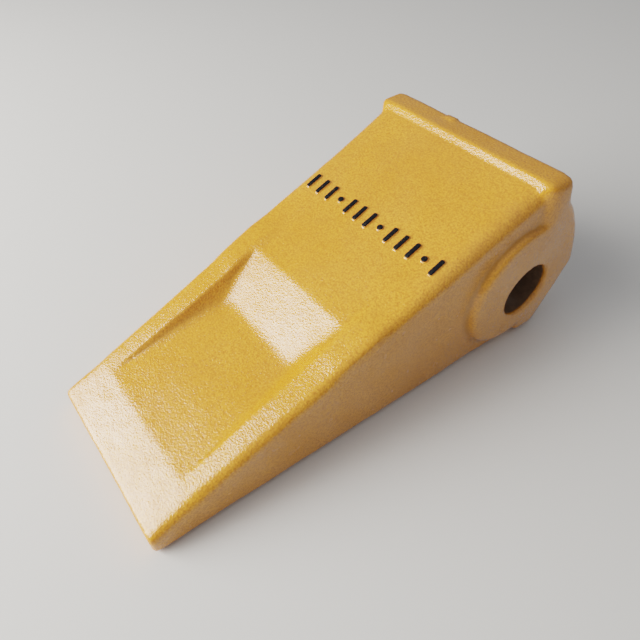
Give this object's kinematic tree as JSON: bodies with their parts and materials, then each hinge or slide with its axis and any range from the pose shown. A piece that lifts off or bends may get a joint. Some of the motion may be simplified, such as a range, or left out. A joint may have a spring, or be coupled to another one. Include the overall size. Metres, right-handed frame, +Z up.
{
  "type": "excavator bucket tooth",
  "caption": "Cast wedge-shaped bucket tooth with a scooped deck, rear socket and cross pin held by a split ring.",
  "frame": {"origin": "on the pin axis, midway between the two ears", "axes": "+X along the pin axis, +Y out of the socket towards the adapter, cutting edge at -Y, +Z up with the flat underside level"},
  "size_m": [0.1685, 0.3216, 0.1235],
  "materials": {
    "casting": "glossy golden-yellow enamel over an as-cast steel skin",
    "pin_steel": "turned and hardened steel, lightly oiled",
    "ring_steel": "dark oil-blacked spring steel"
  },
  "bodies": {
    "tooth": {"tooth_point": "casting"},
    "retainer": {"retainer_ring": "ring_steel"},
    "pin": {"retaining_pin": "pin_steel"}
  },
  "joints": [
    {"name": "pin_drive", "type": "slide", "parent": "tooth", "child": "retainer", "axis": [1, 0, 0], "range_m": [-0.073, 0.021]},
    {"name": "pin_turn", "type": "hinge", "parent": "retainer", "child": "pin", "pos_m": [0, 0, 0], "axis": [1, 0, 0], "continuous": true}
  ]
}
